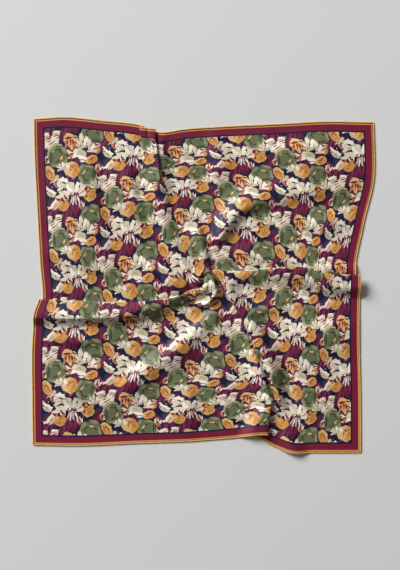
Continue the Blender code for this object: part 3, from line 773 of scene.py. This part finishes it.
side = np.linspace(-PANEL_HALF, PANEL_HALF, round(2 * PANEL_HALF / ROLL_STEP) + 1)
edge_line = np.full(side.shape, PANEL_HALF)
hem_lines = {}
for name, u, v, inward, beyond in (
        ("north", side, edge_line, (0, -1), HALF - PANEL_HALF),
        ("south", side, -edge_line, (0, 1), HALF - PANEL_HALF),
        ("east", edge_line, side, (-1, 0), 0.0), ("west", -edge_line, side, (1, 0), 0.0)):
    route, along, out, up = hem_frame(u, v, inward, beyond)
    length = np.concatenate(([0.0], np.cumsum(np.linalg.norm(np.diff(route, axis=0), axis=1))))
    faces = tube_quads(len(route), ROLL_SIDES)
    if name in ("north", "west"):
        faces = faces[:, ::-1]
    hem = piece("rolled_hem_" + name, roll(route, out, up, length).reshape(-1, 3), faces)
    hem.data.materials.append(hem_silk)
    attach(hem, "root")
    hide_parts("hem_" + name)
    hem_lines[name] = (route, along, out, up, length)

# ---------------------------------------------------------------------------------------------
# The slip stitches: two-ply twisted silk thread in the colour of the margin, one stitch every 6 mm. A
# stitch shows as a short slanting bow, from the roll's crown down to the sheet inside it.
# ---------------------------------------------------------------------------------------------
# A bow's start and end are in half turns round the roll from straight out, and its middle in radians.
BOW_START = 0.35
BOW_END = 1.12
BOW_MIDDLE = 2.2
BOW_SLANT = 0.5
BOW_STANDS = 0.05
BOW_SIDES = 5
THREAD_RADII = (0.06, 0.17, 0.19, 0.17, 0.06)


def bows(route, along, out, up, at):
    """Points of the stitches at some rings of a hem, as tubes of a few rings each.

    A bow runs round the roll, just outside it, from its start to its end in half turns, and forward
    by its slant times the angle past its middle. Its tube is thin at both ends.
    """
    angle = np.linspace(BOW_START, BOW_END, len(THREAD_RADII))[None, :, None] * math.pi
    radial = np.cos(angle) * out[at][:, None, :] + np.sin(angle) * up[at][:, None, :]
    line = (route[at][:, None, :] + along[at][:, None, :] * (angle - BOW_MIDDLE) * BOW_SLANT
            + (ROLL_RADIUS + BOW_STANDS) * radial)
    turn = np.linspace(0, 2 * math.pi, BOW_SIDES, endpoint=False)[None, None, :, None]
    ring = np.cos(turn) * along[at][:, None, None, :] + np.sin(turn) * radial[:, :, None, :]
    return line[:, :, None, :] + np.array(THREAD_RADII)[None, :, None, None] * ring


stitch_points, stitch_faces = [], []
stitches_made = 0
bow_quads = tube_quads(len(THREAD_RADII), BOW_SIDES)
bow_corners = len(THREAD_RADII) * BOW_SIDES
for name, (route, along, out, up, length) in hem_lines.items():
    at = np.interp(np.arange(STITCH_PITCH, length[-1] - STITCH_PITCH, STITCH_PITCH), length,
                   np.arange(len(length))).round().astype(int)
    stitch_points.append(bows(route, along, out, up, at).reshape(-1, 3))
    starts = bow_corners * (stitches_made + np.arange(len(at)))[:, None, None]
    faces = bow_quads if name in ("north", "west") else bow_quads[:, ::-1]
    stitch_faces.append((faces[None] + starts).reshape(-1, 4))
    stitches_made += len(at)
slip_stitches = piece("slip_stitches", np.concatenate(stitch_points), np.concatenate(stitch_faces))
# Twisted silk thread: glossier than the cloth, with a mottle of its plies 1 mm long, so that each
# stitch is a small light fleck.
thread_silk = bpy.data.materials.new("twisted_silk_thread")
thread_silk.use_nodes = True
tree = thread_silk.node_tree
shader = tree.nodes["Principled BSDF"]
place = node(tree, "ShaderNodeTexCoord")[3]
twist = node(tree, "ShaderNodeTexNoise", Vector=place, Scale=900.0)[0]
colour = node(tree, "ShaderNodeMix", {"data_type": "RGBA"}, _0=twist, _6=linear("A8702C"),
              _7=linear("D8A25C"))[2]
tree.links.new(colour, shader.inputs["Base Color"])
shader.inputs["Roughness"].default_value = 0.45
slip_stitches.data.materials.append(thread_silk)
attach(slip_stitches, "root")

# ---------------------------------------------------------------------------------------------
# The stage: a plain pale floor, a soft key light from the north west and a camera straight above. The
# light is a wide disk far off, so that the floor darkens only a little across the view.
# ---------------------------------------------------------------------------------------------
FLOOR_HALF = 6.0
FLOOR_TOP = -0.0005

floor_mesh = bpy.data.meshes.new("floor")
floor_corners = [(x * FLOOR_HALF, y * FLOOR_HALF, FLOOR_TOP)
                 for x, y in ((-1, -1), (1, -1), (1, 1), (-1, 1))]
floor_mesh.from_pydata(floor_corners, [], [(0, 1, 2, 3)])
floor = bpy.data.objects.new("floor", floor_mesh)
bpy.context.scene.collection.objects.link(floor)
# Matt paper: an even pale grey that takes soft shadows and throws no reflection.
paper = bpy.data.materials.new("matt_paper")
paper.use_nodes = True
shader = paper.node_tree.nodes["Principled BSDF"]
shader.inputs["Base Color"].default_value = linear("D2D2D0")
shader.inputs["Roughness"].default_value = 0.9
floor_mesh.materials.append(paper)

key = bpy.data.lights.new("key", "AREA")
key.shape = "DISK"
key.size = 8.0
key.energy = 3620.0
key_light = bpy.data.objects.new("key", key)
key_light.location = (-9.4, 9.0, 8.3)
key_light.rotation_euler = (-Vector(key_light.location)).to_track_quat("-Z", "Y").to_euler()
bpy.context.scene.collection.objects.link(key_light)

world = bpy.data.worlds.new("studio")
bpy.context.scene.world = world
world.use_nodes = True
world.node_tree.nodes["Background"].inputs["Color"].default_value = (1.0, 1.0, 1.0, 1.0)
world.node_tree.nodes["Background"].inputs["Strength"].default_value = 0.16
bpy.context.scene.view_settings.view_transform = "Standard"

# The height of floor in view and the view's middle set the camera's place above the scarf.
LENS = 85.0
SENSOR = 36.0
VIEW_HEIGHT = 1.425
VIEW_X = -0.00835
VIEW_Y = 0.0005
lens = bpy.data.cameras.new("camera")
lens.lens = LENS
lens.sensor_width = SENSOR
camera = bpy.data.objects.new("camera", lens)
camera.location = (VIEW_X, VIEW_Y, VIEW_HEIGHT * LENS / SENSOR)
bpy.context.scene.collection.objects.link(camera)
bpy.context.scene.camera = camera
